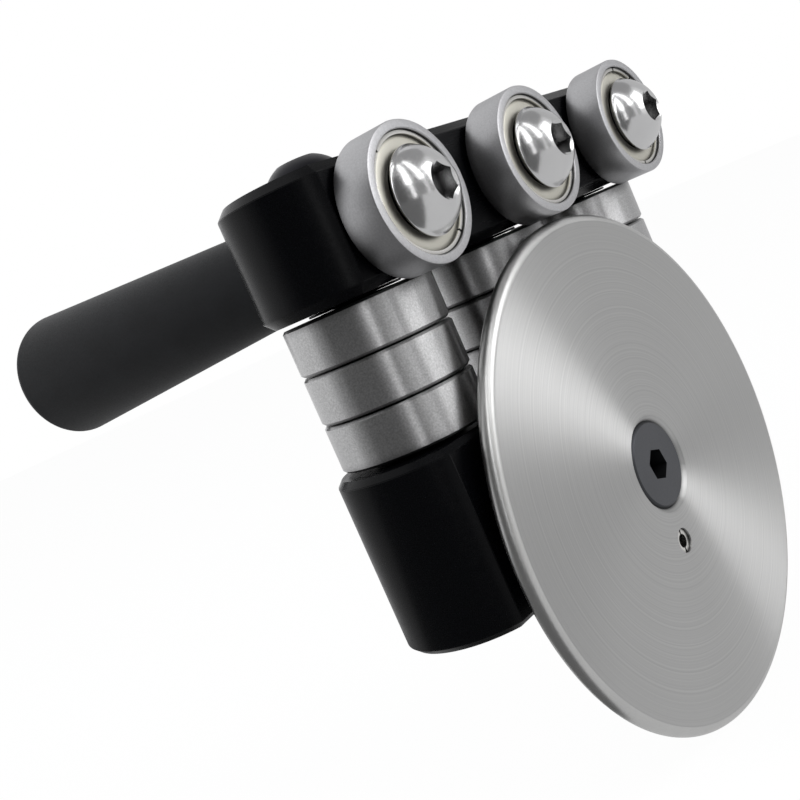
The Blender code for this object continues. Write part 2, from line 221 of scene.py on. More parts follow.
WALL_R = 0.7
WALL_TOP = 0.75
WINDOW_FOOT = 0.09
WINDOW_TOP = 0.62
LAMP_FOOT = 0.3
TABLE_Z = FLOOR_Z + 0.0004
walls = [
    ("wall behind left", -225, -127, 0.95), ("wall fading", -127, -117, 0.62),
    ("wall faded", -117, -107, 0.36), ("wall dark", -107, -56, 0.11),
    ("wall dusk", -56, -44.5, 0.2), ("strip near", -44.5, -38, 1.7),
    ("wall between", -38, -14.5, 0.28), ("strip far", -14.5, -8, 0.9),
    ("wall beside", -8, 3, 0.42), ("wall right", 34, 52, 0.75),
    ("wall far right", 52, 135, 0.58)]
for name, start, end, level in walls:
    add_sector(name, start, end, (WALL_R, FLOOR_Z), (WALL_R, WALL_TOP), level)
add_sector("window sill", 3, 34, (WALL_R, FLOOR_Z), (WALL_R, WINDOW_FOOT), 0.9)
add_sector("window", 3, 34, (WALL_R, WINDOW_FOOT), (WALL_R, WINDOW_TOP), 2.9)
add_sector("window top", 3, 34, (WALL_R, WINDOW_TOP), (WALL_R, WALL_TOP), 0.6)
for name, start, end in (("near lamp", -49, -36), ("far lamp", -19, -7)):
    near = WALL_R - 0.01
    high = WALL_TOP - 0.01
    add_sector(name + " wall", start, end, (near, LAMP_FOOT), (near, high), 3.0)
    add_sector(name + " ceiling", start, end, (0.25, high), (near, high), 3.0)
add_sector("ceiling front", -90, 90, (0.001, WALL_TOP), (WALL_R, WALL_TOP), 0.35)
add_sector("ceiling back", 90, 270, (0.001, WALL_TOP), (WALL_R, WALL_TOP), 0.8)
# painted shadow: the dark card under the back of the tool stands for its shadow on the
# table, seen in reflections
tables = [
    ("table under front", -90, 90, 0.001, 0.05, 0.62),
    ("table under back", 90, 270, 0.001, 0.09, 0.28),
    ("table left", -125, -90, 0.05, WALL_R, 0.16),
    ("table near", -90, -30, 0.05, WALL_R, 0.16),
    ("table front", -30, 90, 0.05, WALL_R, 0.66),
    ("table back", 90, 235, 0.09, WALL_R, 0.6)]
for name, start, end, near, far, level in tables:
    add_sector(name, start, end, (near, TABLE_Z), (far, TABLE_Z), level)
print(len(cards), "cards")


# %% Lamps
def add_lamp(name, place, target, width, height, power):
    data = bpy.data.lights.new(name, "AREA")
    data.shape = "RECTANGLE"
    data.size = width
    data.size_y = height
    data.energy = power
    lamp = bpy.data.objects.new(name, data)
    scene.collection.objects.link(lamp)
    lamp.location = place
    aim = Vector(target) - Vector(place)
    lamp.rotation_euler = aim.to_track_quat("-Z", "Y").to_euler()
    lamp.visible_glossy = False


add_lamp("lamp over left", (-0.25, -0.75, 0.75), (0.0, 0.0, 0.0), 0.7, 0.5, 9.0)
add_lamp("lamp over right", (0.85, 0.25, 0.6), (0.0, 0.0, 0.0), 0.6, 0.6, 7.0)

# %% [markdown]
# ## Shared shader groups
# Two effects return in several finishes. **Grain** is a cloud of fine spots that changes
# roughness and height a little, because no real surface is perfectly even. **Turning
# marks** are the fine rings that a lathe leaves round an axis.


# %% Shader group helpers
def new_group(name, inputs, outputs):
    group = bpy.data.node_groups.new(name, "ShaderNodeTree")
    for label, kind, value in inputs:
        socket = group.interface.new_socket(name=label, in_out="INPUT",
                                            socket_type="NodeSocket" + kind)
        if value is not None:
            socket.default_value = value
    for label, kind in outputs:
        group.interface.new_socket(name=label, in_out="OUTPUT",
                                   socket_type="NodeSocket" + kind)
    entry = group.nodes.new("NodeGroupInput")
    result = group.nodes.new("NodeGroupOutput")
    return group, entry, result


# %% Grain group
grain_group, grain_in, grain_out = new_group(
    "grain",
    [("Vector", "Vector", None), ("Scale", "Float", 900.0), ("Stretch", "Vector", (1, 1, 1)),
     ("Low", "Float", 0.0), ("High", "Float", 1.0)],
    [("Value", "Float"), ("Height", "Float")])
gn = grain_group.nodes
gl = grain_group.links
stretch = gn.new("ShaderNodeVectorMath")
stretch.operation = "MULTIPLY"
spots = gn.new("ShaderNodeTexNoise")
spots.inputs["Detail"].default_value = 3.0
spots.inputs["Roughness"].default_value = 0.6
spread = gn.new("ShaderNodeMapRange")
spread.inputs["From Min"].default_value = 0.3
spread.inputs["From Max"].default_value = 0.7
gl.new(grain_in.outputs["Vector"], stretch.inputs[0])
gl.new(grain_in.outputs["Stretch"], stretch.inputs[1])
gl.new(stretch.outputs[0], spots.inputs["Vector"])
gl.new(grain_in.outputs["Scale"], spots.inputs["Scale"])
gl.new(spots.outputs["Fac"], spread.inputs["Value"])
gl.new(grain_in.outputs["Low"], spread.inputs["To Min"])
gl.new(grain_in.outputs["High"], spread.inputs["To Max"])
gl.new(spread.outputs["Result"], grain_out.inputs["Value"])
gl.new(spots.outputs["Fac"], grain_out.inputs["Height"])

# %% Turning marks group
rings_group, rings_in, rings_out = new_group(
    "turning marks",
    [("Vector", "Vector", None), ("Across", "Vector", (0, 1, 1)), ("Scale", "Float", 3000.0),
     ("Low", "Float", 0.0), ("High", "Float", 1.0)],
    [("Value", "Float"), ("Height", "Float")])
rn = rings_group.nodes
rl = rings_group.links
flatten = rn.new("ShaderNodeVectorMath")
flatten.operation = "MULTIPLY"
distance = rn.new("ShaderNodeVectorMath")
distance.operation = "LENGTH"
grooves = rn.new("ShaderNodeTexNoise")
grooves.noise_dimensions = "1D"
grooves.inputs["Detail"].default_value = 4.0
grooves.inputs["Roughness"].default_value = 0.7
groove_spread = rn.new("ShaderNodeMapRange")
groove_spread.inputs["From Min"].default_value = 0.25
groove_spread.inputs["From Max"].default_value = 0.75
rl.new(rings_in.outputs["Vector"], flatten.inputs[0])
rl.new(rings_in.outputs["Across"], flatten.inputs[1])
rl.new(flatten.outputs[0], distance.inputs[0])
rl.new(distance.outputs["Value"], grooves.inputs["W"])
rl.new(rings_in.outputs["Scale"], grooves.inputs["Scale"])
rl.new(grooves.outputs["Fac"], groove_spread.inputs["Value"])
rl.new(rings_in.outputs["Low"], groove_spread.inputs["To Min"])
rl.new(rings_in.outputs["High"], groove_spread.inputs["To Max"])
rl.new(groove_spread.outputs["Result"], rings_out.inputs["Value"])
rl.new(grooves.outputs["Fac"], rings_out.inputs["Height"])
print("shader groups:", grain_group.name, "and", rings_group.name)

# %% [markdown]
# ## Finishes
# Every finish starts from one Principled shader. The black blocks are anodised, so they
# are a dark, dull shell over aluminium that hardly mirrors anything. The rollers are
# ground steel, with grain in their colour and roughness. The disc was faced on a lathe,
# so light runs across it in two bright wedges: that is anisotropy along its turning
# marks. All steel has painted shade in its narrow corners, a darker base colour from
# ambient occlusion, and each finish says how far the shade spreads. The column bolts and
# washers are almost black.


# %% Material helpers
def new_finish(name, colour, metallic, roughness, specular=0.5):
    finish = bpy.data.materials.new(name)
    finish.use_nodes = True
    shader = finish.node_tree.nodes["Principled BSDF"]
    shader.inputs["Base Color"].default_value = (*colour, 1.0)
    shader.inputs["Metallic"].default_value = metallic
    shader.inputs["Roughness"].default_value = roughness
    shader.inputs["Specular IOR Level"].default_value = specular
    return finish, shader


def object_place(finish, offset=(0.0, 0.0, 0.0)):
    """Object coordinates, moved so that a chosen point is their centre."""
    nodes = finish.node_tree.nodes
    where = nodes.new("ShaderNodeTexCoord")
    shift = nodes.new("ShaderNodeMapping")
    shift.inputs["Location"].default_value = [-value for value in offset]
    finish.node_tree.links.new(where.outputs["Object"], shift.inputs["Vector"])
    return shift.outputs["Vector"]


def add_group(finish, group, vector, **values):
    node = finish.node_tree.nodes.new("ShaderNodeGroup")
    node.node_tree = group
    finish.node_tree.links.new(vector, node.inputs["Vector"])
    for label, value in values.items():
        node.inputs[label].default_value = value
    return node


def add_bump(finish, shader, height, strength, depth):
    bump = finish.node_tree.nodes.new("ShaderNodeBump")
    bump.inputs["Strength"].default_value = strength
    bump.inputs["Distance"].default_value = depth
    finish.node_tree.links.new(height, bump.inputs["Height"])
    finish.node_tree.links.new(bump.outputs["Normal"], shader.inputs["Normal"])


def tint(finish, shader, factor, dark, light):
    """Lets a mask vary the base colour between two values."""
    blend = finish.node_tree.nodes.new("ShaderNodeMix")
    blend.data_type = "RGBA"
    blend.inputs["A"].default_value = (*dark, 1.0)
    blend.inputs["B"].default_value = (*light, 1.0)
    finish.node_tree.links.new(factor, blend.inputs["Factor"])
    finish.node_tree.links.new(blend.outputs["Result"], shader.inputs["Base Color"])
    return blend


# %% Black anodised blocks
anodised, anodised_shader = new_finish("black anodised", (0.001, 0.0011, 0.0015), 0.0, 0.4,
                                       0.11)
block_place = object_place(anodised)
block_marks = add_group(anodised, grain_group, block_place, Scale=260.0,
                        Stretch=(6.0, 0.6, 6.0), Low=0.2, High=0.3)
anodised.node_tree.links.new(block_marks.outputs["Value"],
                             anodised_shader.inputs["Roughness"])
block_grain = add_group(anodised, grain_group, block_place, Scale=5200.0, Low=0.0, High=1.0)
tint(anodised, anodised_shader, block_grain.outputs["Value"],
     (0.0007, 0.0008, 0.0011), (0.0014, 0.0015, 0.002))
add_bump(anodised, anodised_shader, block_grain.outputs["Height"], 0.12, 0.00002)

# %% Handle
grip_finish, grip_shader = new_finish("soft black handle", (0.006, 0.0063, 0.0072), 0.0, 0.5,
                                      0.13)
grip_place = object_place(grip_finish)
grip_grain = add_group(grip_finish, grain_group, grip_place, Scale=2600.0,
                       Low=0.44, High=0.56)
grip_finish.node_tree.links.new(grip_grain.outputs["Value"], grip_shader.inputs["Roughness"])
grip_cloud = add_group(grip_finish, grain_group, grip_place, Scale=120.0, Low=0.0, High=1.0)
tint(grip_finish, grip_shader, grip_cloud.outputs["Value"],
     (0.005, 0.0053, 0.006), (0.007, 0.0074, 0.0085))
add_bump(grip_finish, grip_shader, grip_grain.outputs["Height"], 0.15, 0.00003)


# %% Steels
def paint_corner_shade(finish, shader, colour, shade_reach):
    """Painted shade: ambient occlusion darkens the base colour in narrow corners, where two
    pieces meet.
    """
    nodes = finish.node_tree.nodes
    links = finish.node_tree.links
    corner = nodes.new("ShaderNodeAmbientOcclusion")
    corner.samples = 8
    corner.inputs["Distance"].default_value = shade_reach
    fall = nodes.new("ShaderNodeMath")
    fall.operation = "POWER"
    fall.inputs[1].default_value = 1.6
    darker = nodes.new("ShaderNodeMix")
    darker.data_type = "RGBA"
    darker.blend_type = "MULTIPLY"
    darker.inputs["Factor"].default_value = 1.0
    links.new(corner.outputs["AO"], fall.inputs[0])
    links.new(colour, darker.inputs["A"])
    links.new(fall.outputs[0], darker.inputs["B"])
    links.new(darker.outputs["Result"], shader.inputs["Base Color"])


def steel(name, colour, roughness, spread_by, sparkle, scale=4200.0, shade_reach=0.0022,
          cloud_scale=70.0, uneven=0.06):
    """Bare steel: a fine grain varies its roughness and makes it sparkle."""
    finish, shader = new_finish(name, colour, 1.0, roughness)
    place_out = object_place(finish)
    fine = add_group(finish, grain_group, place_out, Scale=scale,
                     Low=roughness - spread_by, High=roughness + spread_by)
    finish.node_tree.links.new(fine.outputs["Value"], shader.inputs["Roughness"])
    cloud = add_group(finish, grain_group, place_out, Scale=cloud_scale, Low=0.0, High=1.0)
    dark = tuple(value * (1.0 - uneven) for value in colour)
    light = tuple(value * (1.0 + uneven) for value in colour)
    blend = tint(finish, shader, cloud.outputs["Value"], dark, light)
    # painted shade: the narrow corners of each steel get a darker base colour
    paint_corner_shade(finish, shader, blend.outputs["Result"], shade_reach)
    add_bump(finish, shader, fine.outputs["Height"], sparkle, 0.00002)
    return finish


def grind_round(finish, axis, amount):
    """Grinding or turning marks run round an axis, and light spreads across them."""
    shader = finish.node_tree.nodes["Principled BSDF"]
    shader.inputs["Anisotropic"].default_value = amount
    shader.inputs["Anisotropic Rotation"].default_value = 0.25
    around = finish.node_tree.nodes.new("ShaderNodeTangent")
    around.direction_type = "RADIAL"
    around.axis = axis
    finish.node_tree.links.new(around.outputs["Tangent"], shader.inputs["Tangent"])


ground = steel("ground press roller", (0.52, 0.52, 0.53), 0.42, 0.05, 0.5,
               cloud_scale=3600.0, uneven=0.09)
guide_ground = steel("ground guide roller", (0.50, 0.50, 0.50), 0.34, 0.05, 0.3,
                     cloud_scale=3600.0, uneven=0.22)
grind_round(guide_ground, "Z", 0.9)
race = steel("bearing face steel", (0.56, 0.56, 0.56), 0.22, 0.04, 0.15)
shield = steel("bearing shield", (0.60, 0.585, 0.52), 0.46, 0.05, 0.12, shade_reach=0.0004)
wire = steel("retaining wire", (0.72, 0.71, 0.68), 0.2, 0.03, 0.08, shade_reach=0.0006)
polished = steel("polished screw steel", (0.66, 0.66, 0.66), 0.19, 0.05, 0.3,
                 scale=3200.0)
blackened = steel("black screw steel", (0.105, 0.108, 0.116), 0.4, 0.06, 0.25,
                  scale=3000.0)
bolt_black = steel("black bolt steel", (0.022, 0.022, 0.026), 0.35, 0.06, 0.25,
                   scale=3000.0)
bronze = steel("bronze bush", (0.50, 0.33, 0.15), 0.35, 0.05, 0.15)

# %% Turned disc
disc_middle = middle("bending_disc")
disc_finish, disc_shader = new_finish("turned disc steel", (0.56, 0.56, 0.55), 1.0, 0.3)
disc_place = object_place(disc_finish, disc_middle)
disc_rings = add_group(disc_finish, rings_group, disc_place, Scale=3200.0,
                       Low=0.36, High=0.46)
disc_finish.node_tree.links.new(disc_rings.outputs["Value"], disc_shader.inputs["Roughness"])
disc_bands = add_group(disc_finish, rings_group, disc_place, Scale=2600.0, Low=0.0, High=1.0)
disc_tint = tint(disc_finish, disc_shader, disc_bands.outputs["Value"],
                 (0.505, 0.505, 0.50), (0.615, 0.615, 0.605))
# painted shade: the narrow corners of the disc get a darker base colour
paint_corner_shade(disc_finish, disc_shader, disc_tint.outputs["Result"], 0.0005)
add_bump(disc_finish, disc_shader, disc_rings.outputs["Height"], 0.2, 0.00002)
grind_round(disc_finish, "X", 0.97)
rim_finish = steel("disc rim steel", (0.58, 0.58, 0.57), 0.34, 0.06, 0.3,
                   scale=3000.0, shade_reach=0.0005)
print(len(bpy.data.materials), "materials")

# %% [markdown]
# ## Turned shapes
# Most pieces are round. A half outline of radii and heights is spun round an axis and
# the seam is merged. Edges that bend by more than 30 degrees stay sharp, the rest is
# smooth.


# %% Lathe
SHARP_ANGLE = math.radians(30)


def shade(mesh):
    """Smooth everywhere, apart from edges that bend by more than the sharp angle."""
    mesh.shade_smooth()
    mesh.set_sharp_from_angle(angle=SHARP_ANGLE)
    return mesh


def finish_mesh(bm, name):
    bmesh.ops.remove_doubles(bm, verts=bm.verts, dist=1e-6)
    bmesh.ops.recalc_face_normals(bm, faces=bm.faces)
    mesh = bpy.data.meshes.new(name)
    bm.to_mesh(mesh)
    bm.free()
    return shade(mesh)


UP = Matrix.Identity(4)
TO_FRONT = Matrix.Rotation(math.radians(90), 4, "Y")
TO_BACK = Matrix.Rotation(math.radians(-90), 4, "Y")
DOWN = Matrix.Rotation(math.radians(180), 4, "X")


def lathe(name, outline, steps, direction, place):
    """Spin an outline in millimetres round its height axis, then turn and place it."""
    bm = bmesh.new()
    verts = [bm.verts.new((r * MM, 0.0, h * MM)) for r, h in outline]
    edges = [bm.edges.new(pair) for pair in zip(verts[:-1], verts[1:])]
    if outline[0][0] > 0.0:
        edges.append(bm.edges.new((verts[-1], verts[0])))
    bmesh.ops.spin(bm, geom=verts + edges, cent=(0, 0, 0), axis=(0, 0, 1),
                   angle=2 * math.pi, steps=steps, use_duplicate=False)
    mesh = finish_mesh(bm, name)
    mesh.transform(Matrix.Translation(place) @ direction)
    return mesh


def add_piece(name, mesh, finish, body, slot, *nodes):
    """Put a finished mesh in the scene, riding on its body in place of the CAD nodes."""
    mesh.materials.clear()
    mesh.materials.append(finish)
    piece = bpy.data.objects.new(name, mesh)
    scene.collection.objects.link(piece)
    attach(piece, body)
    if nodes:
        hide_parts(*nodes)


def carve(mesh, cutters):
    """Cut closed meshes out of another with Boolean modifiers, and return the result."""
    block = bpy.data.objects.new("carve", mesh)
    scene.collection.objects.link(block)
    helpers = []
    for cutter in cutters:
        helper = bpy.data.objects.new("cutter", cutter)
        scene.collection.objects.link(helper)
        helpers.append(helper)
        modifier = block.modifiers.new("cut", "BOOLEAN")
        modifier.operation = "DIFFERENCE"
        modifier.solver = "EXACT"
        modifier.object = helper
    graph = bpy.context.evaluated_depsgraph_get()
    result = bpy.data.meshes.new_from_object(block.evaluated_get(graph))
    for thing in helpers + [block]:
        bpy.data.objects.remove(thing, do_unlink=True)
    return shade(result)


# %% [markdown]
# ## Geometry Nodes
# The rollers are all rings and they repeat, so a node tree makes them. **Swept ring**
# pushes a chamfered rectangle round a circle, with named inputs for its sizes. **Row of
# copies** sets a shape on a line of points. **Split wire** makes the retaining ring of
# a bearing from four arcs with small gaps between them.


# %% Geometry Nodes helpers
def new_tree(name, inputs):
    tree = bpy.data.node_groups.new(name, "GeometryNodeTree")
    for label, kind, value in inputs:
        socket = tree.interface.new_socket(name=label, in_out="INPUT",
                                           socket_type="NodeSocket" + kind)
        if value is not None:
            socket.default_value = value
    tree.interface.new_socket(name="Geometry", in_out="OUTPUT",
                              socket_type="NodeSocketGeometry")
    return tree, tree.nodes.new("NodeGroupInput"), tree.nodes.new("NodeGroupOutput")


def node(tree, kind, **settings):
    made = tree.nodes.new(kind)
    for label, value in settings.items():
        setattr(made, label, value)
    return made


def run_tree(tree, name, values):
    """Run a tree on an empty object and return the plain mesh that it makes."""
    holder = bpy.data.objects.new(name, bpy.data.meshes.new(name))
    scene.collection.objects.link(holder)
    modifier = holder.modifiers.new("shape", "NODES")
    modifier.node_group = tree
    for item in tree.interface.items_tree:
        if item.in_out == "INPUT" and item.name in values:
            modifier[item.identifier] = values[item.name]
    graph = bpy.context.evaluated_depsgraph_get()
    mesh = bpy.data.meshes.new_from_object(holder.evaluated_get(graph))
    holder.modifiers.remove(modifier)
    bpy.data.objects.remove(holder, do_unlink=True)
    return shade(mesh)


def end_tree(tree, entry, result, geometry):
    """Every tree ends the same way: real geometry with a material."""
    realize = node(tree, "GeometryNodeRealizeInstances")
    paint = node(tree, "GeometryNodeSetMaterial")
    tree.links.new(geometry, realize.inputs["Geometry"])
    tree.links.new(realize.outputs["Geometry"], paint.inputs["Geometry"])
    tree.links.new(entry.outputs["Material"], paint.inputs["Material"])
    tree.links.new(paint.outputs["Geometry"], result.inputs["Geometry"])


# %% Swept ring tree
ring_tree, ring_in, ring_out = new_tree("swept ring", [
    ("Outer Radius", "Float", 0.012), ("Inner Radius", "Float", 0.006),
    ("Width", "Float", 0.007), ("Chamfer", "Float", 0.0003), ("Facets", "Int", 96),
    ("Material", "Material", None)])
ring_links = ring_tree.links
ring_sum = node(ring_tree, "ShaderNodeMath", operation="ADD")
ring_mid = node(ring_tree, "ShaderNodeMath", operation="MULTIPLY")
ring_mid.inputs[1].default_value = 0.5
ring_wall = node(ring_tree, "ShaderNodeMath", operation="SUBTRACT")
ring_circle = node(ring_tree, "GeometryNodeCurvePrimitiveCircle", mode="RADIUS")
ring_normal = node(ring_tree, "GeometryNodeSetCurveNormal", mode="Z_UP")
ring_section = node(ring_tree, "GeometryNodeCurvePrimitiveQuadrilateral", mode="RECTANGLE")
ring_fillet = node(ring_tree, "GeometryNodeFilletCurve", mode="POLY")
ring_fillet.inputs["Count"].default_value = 1
ring_sweep = node(ring_tree, "GeometryNodeCurveToMesh")
ring_links.new(ring_in.outputs["Outer Radius"], ring_sum.inputs[0])
ring_links.new(ring_in.outputs["Inner Radius"], ring_sum.inputs[1])
ring_links.new(ring_sum.outputs[0], ring_mid.inputs[0])
ring_links.new(ring_in.outputs["Outer Radius"], ring_wall.inputs[0])
ring_links.new(ring_in.outputs["Inner Radius"], ring_wall.inputs[1])
ring_links.new(ring_in.outputs["Facets"], ring_circle.inputs["Resolution"])
ring_links.new(ring_mid.outputs[0], ring_circle.inputs["Radius"])
ring_links.new(ring_circle.outputs["Curve"], ring_normal.inputs["Curve"])
ring_links.new(ring_wall.outputs[0], ring_section.inputs["Width"])
ring_links.new(ring_in.outputs["Width"], ring_section.inputs["Height"])
ring_links.new(ring_section.outputs["Curve"], ring_fillet.inputs["Curve"])
ring_links.new(ring_in.outputs["Chamfer"], ring_fillet.inputs["Radius"])
ring_links.new(ring_normal.outputs["Curve"], ring_sweep.inputs["Curve"])
ring_links.new(ring_fillet.outputs["Curve"], ring_sweep.inputs["Profile Curve"])
end_tree(ring_tree, ring_in, ring_out, ring_sweep.outputs["Mesh"])

# %% Row of copies tree
row_tree, row_in, row_out = new_tree("row of copies", [
    ("Shape", "Object", None), ("Count", "Int", 3), ("First", "Vector", (0, 0, 0)),
    ("Step", "Vector", (0, 0.035, 0)), ("Axis", "Vector", (1, 0, 0)),
    ("Turn Step", "Float", 0.0), ("Material", "Material", None)])
row_links = row_tree.links
row_line = node(row_tree, "GeometryNodeMeshLine", mode="OFFSET", count_mode="TOTAL")
row_shape = node(row_tree, "GeometryNodeObjectInfo", transform_space="ORIGINAL")
row_index = node(row_tree, "GeometryNodeInputIndex")
row_angle = node(row_tree, "ShaderNodeMath", operation="MULTIPLY")
row_turn = node(row_tree, "FunctionNodeAxisAngleToRotation")
row_place = node(row_tree, "GeometryNodeInstanceOnPoints")
row_links.new(row_in.outputs["Count"], row_line.inputs["Count"])
row_links.new(row_in.outputs["First"], row_line.inputs["Start Location"])
row_links.new(row_in.outputs["Step"], row_line.inputs["Offset"])
row_links.new(row_in.outputs["Shape"], row_shape.inputs["Object"])
row_links.new(row_index.outputs[0], row_angle.inputs[0])
row_links.new(row_in.outputs["Turn Step"], row_angle.inputs[1])
row_links.new(row_in.outputs["Axis"], row_turn.inputs["Axis"])
row_links.new(row_angle.outputs[0], row_turn.inputs["Angle"])
row_links.new(row_line.outputs["Mesh"], row_place.inputs["Points"])
row_links.new(row_shape.outputs["Geometry"], row_place.inputs["Instance"])
row_links.new(row_turn.outputs["Rotation"], row_place.inputs["Rotation"])
end_tree(row_tree, row_in, row_out, row_place.outputs["Instances"])

# %% Split wire tree
wire_tree, wire_in, wire_out = new_tree("split wire", [
    ("Radius", "Float", 0.009), ("Thickness", "Float", 0.0006), ("Depth", "Float", 0.0005),
    ("Long Arc", "Float", 2.4), ("Short Arc", "Float", 0.6), ("Gap", "Float", 0.05),
    ("Material", "Material", None)])
wire_links = wire_tree.links
wire_long = node(wire_tree, "GeometryNodeCurveArc", mode="RADIUS")
wire_long.inputs["Resolution"].default_value = 48
wire_short = node(wire_tree, "GeometryNodeCurveArc", mode="RADIUS")
wire_short.inputs["Resolution"].default_value = 14
wire_start = node(wire_tree, "ShaderNodeMath", operation="ADD")
wire_pair = node(wire_tree, "GeometryNodeJoinGeometry")
wire_half = node(wire_tree, "GeometryNodeTransform")
wire_half.inputs["Rotation"].default_value = (0.0, 0.0, math.pi)
wire_all = node(wire_tree, "GeometryNodeJoinGeometry")
wire_normal = node(wire_tree, "GeometryNodeSetCurveNormal", mode="Z_UP")
wire_section = node(wire_tree, "GeometryNodeCurvePrimitiveQuadrilateral", mode="RECTANGLE")
wire_sweep = node(wire_tree, "GeometryNodeCurveToMesh")
wire_sweep.inputs["Fill Caps"].default_value = True
wire_links.new(wire_in.outputs["Radius"], wire_long.inputs["Radius"])
wire_links.new(wire_in.outputs["Long Arc"], wire_long.inputs["Sweep Angle"])
wire_links.new(wire_in.outputs["Radius"], wire_short.inputs["Radius"])
wire_links.new(wire_in.outputs["Short Arc"], wire_short.inputs["Sweep Angle"])
wire_links.new(wire_in.outputs["Long Arc"], wire_start.inputs[0])
wire_links.new(wire_in.outputs["Gap"], wire_start.inputs[1])
wire_links.new(wire_start.outputs[0], wire_short.inputs["Start Angle"])
wire_links.new(wire_long.outputs["Curve"], wire_pair.inputs["Geometry"])
wire_links.new(wire_short.outputs["Curve"], wire_pair.inputs["Geometry"])
wire_links.new(wire_pair.outputs["Geometry"], wire_half.inputs["Geometry"])
wire_links.new(wire_pair.outputs["Geometry"], wire_all.inputs["Geometry"])
wire_links.new(wire_half.outputs["Geometry"], wire_all.inputs["Geometry"])
wire_links.new(wire_all.outputs["Geometry"], wire_normal.inputs["Curve"])
wire_links.new(wire_in.outputs["Thickness"], wire_section.inputs["Width"])
wire_links.new(wire_in.outputs["Depth"], wire_section.inputs["Height"])
wire_links.new(wire_normal.outputs["Curve"], wire_sweep.inputs["Curve"])
wire_links.new(wire_section.outputs["Curve"], wire_sweep.inputs["Profile Curve"])
end_tree(wire_tree, wire_in, wire_out, wire_sweep.outputs["Mesh"])
print("node trees:", ring_tree.name, row_tree.name, wire_tree.name)

# %% [markdown]
# ## Press rollers
# Each press roller is a deep groove bearing, 22 mm across and 7 mm wide. What shows from
# the front is the outer ring with a small step, the dished metal shield inside it and
# the split wire that holds the shield. All three turn together.

# %% Press rollers
PRESS_R = 11.0
PRESS_W = 7.0
BORE_R = 4.0
INNER_R = 6.1
STEP_R = 9.55
OUTER_BORE_R = 6.5
RECESS = 1.3
WIRE_R = 9.15
COLUMNS = (1, 2, 3)

press_face = PRESS_W / 2
press_outline = [
    (PRESS_R - 0.35, press_face), (PRESS_R - 0.1, press_face - 0.1),
    (PRESS_R, press_face - 0.35), (PRESS_R, 0.35 - press_face),
    (PRESS_R - 0.1, 0.1 - press_face), (PRESS_R - 0.35, -press_face),
    (OUTER_BORE_R, -press_face), (OUTER_BORE_R, press_face - RECESS),
    (STEP_R, press_face - RECESS), (STEP_R, press_face - 0.15), (STEP_R + 0.15, press_face)]

# each pair is a radius and a height over the seat that the shield lies on
shield_floor = press_face - RECESS + 0.1
shield_outline = [(r, shield_floor + rise) for r, rise in (
    (6.35, 0.05), (6.35, 0.5), (6.5, 0.55), (8.1, 0.36), (8.3, 0.33), (8.45, 0.28),
    (8.6, 0.2), (9.45, 0.2), (9.45, 0.0))]
for i in COLUMNS:
    hub = middle(f"press_roller_{i}")
    body = f"press_{i}"
    ring_mesh = lathe("press roller", press_outline, 128, TO_FRONT, hub)
    add_piece(f"press_roller_ring_{i}", ring_mesh, ground, body, "ground_steel",
              f"press_roller_{i}")
    shield_mesh = lathe("press shield", shield_outline, 96, TO_FRONT, hub)
    add_piece(f"press_roller_shield_{i}", shield_mesh, shield, body, "shield_steel",
              f"press_shield_{i}")
    wire_mesh = run_tree(wire_tree, "press wire", {
        "Radius": WIRE_R * MM, "Thickness": 0.55 * MM, "Depth": 0.5 * MM,
        "Long Arc": math.radians(141), "Short Arc": math.radians(34),
        "Gap": math.radians(2.5), "Material": wire})
    spin = Matrix.Rotation(math.radians(25 + 50 * i), 4, "Z")
    wire_mesh.transform(Matrix.Translation(hub) @ TO_FRONT @ spin
                        @ Matrix.Translation((0, 0, (shield_floor + 0.45) * MM)))
    add_piece(f"press_roller_wire_{i}", wire_mesh, wire, body, "shield_steel",
              f"press_retainer_{i}")
print("press rollers done")

# %% [markdown]
# ## Guide rollers
# Nine rollers with thick outer rings stand in three columns, face to face. Each one is a
# body of its own, so the tree runs once for each. Their inner rings and the washers at
# both ends of a column stand still, so they are made as rows of copies.

# %% Guide rollers
GUIDE_R = 12.5
GUIDE_W = 7.7
GUIDE_EDGE = 0.4
LAYERS = ("top", "middle", "bottom")
for i in COLUMNS:
    for layer in LAYERS:
        tag = f"{i}_{layer}"
        guide_mesh = run_tree(ring_tree, "guide roller", {
            "Outer Radius": GUIDE_R * MM, "Inner Radius": OUTER_BORE_R * MM,
            "Width": GUIDE_W * MM, "Chamfer": GUIDE_EDGE * MM, "Facets": 144,
            "Material": guide_ground})
        guide_mesh.transform(Matrix.Translation(middle(f"guide_roller_{tag}")))
        add_piece(f"guide_ring_{tag}", guide_mesh, guide_ground, f"guide_{tag}",
                  "ground_steel", f"guide_roller_{tag}")


# %% Rows of still rings
INNER_W = 7.9
INNER_EDGE = 0.25
WASHER_R = 7.75
WASHER_T = 0.35
WASHER_EDGE = 0.08
column_step = middle("press_roller_2") - middle("press_roller_1")


def ring_shape(name, outer, inner, width, chamfer, finish):
    mesh = run_tree(ring_tree, name, {
        "Outer Radius": outer * MM, "Inner Radius": inner * MM, "Width": width * MM,
        "Chamfer": chamfer * MM, "Facets": 64, "Material": finish})
    shape = bpy.data.objects.new(name, mesh)
    scene.collection.objects.link(shape)
    return shape


def row_of(shape, first, step, count, finish, axis=(1, 0, 0), turn_step=0.0):
    return run_tree(row_tree, shape.name + " row", {
        "Shape": shape, "Count": count, "First": first, "Step": step, "Axis": axis,
        "Turn Step": turn_step, "Material": finish})


def stack_of(shape, first_node, next_layer_node, layers, finish):
    """A few layers of a ring, and then three such stacks side by side."""
    first = middle(first_node)
    layer_step = middle(next_layer_node) - first
    stack = bpy.data.objects.new(shape.name + " stack",
                                 row_of(shape, first, layer_step, layers, finish))
    scene.collection.objects.link(stack)
    mesh = row_of(stack, (0, 0, 0), column_step, len(COLUMNS), finish)
    bpy.data.objects.remove(stack, do_unlink=True)
    bpy.data.objects.remove(shape, do_unlink=True)
    return mesh


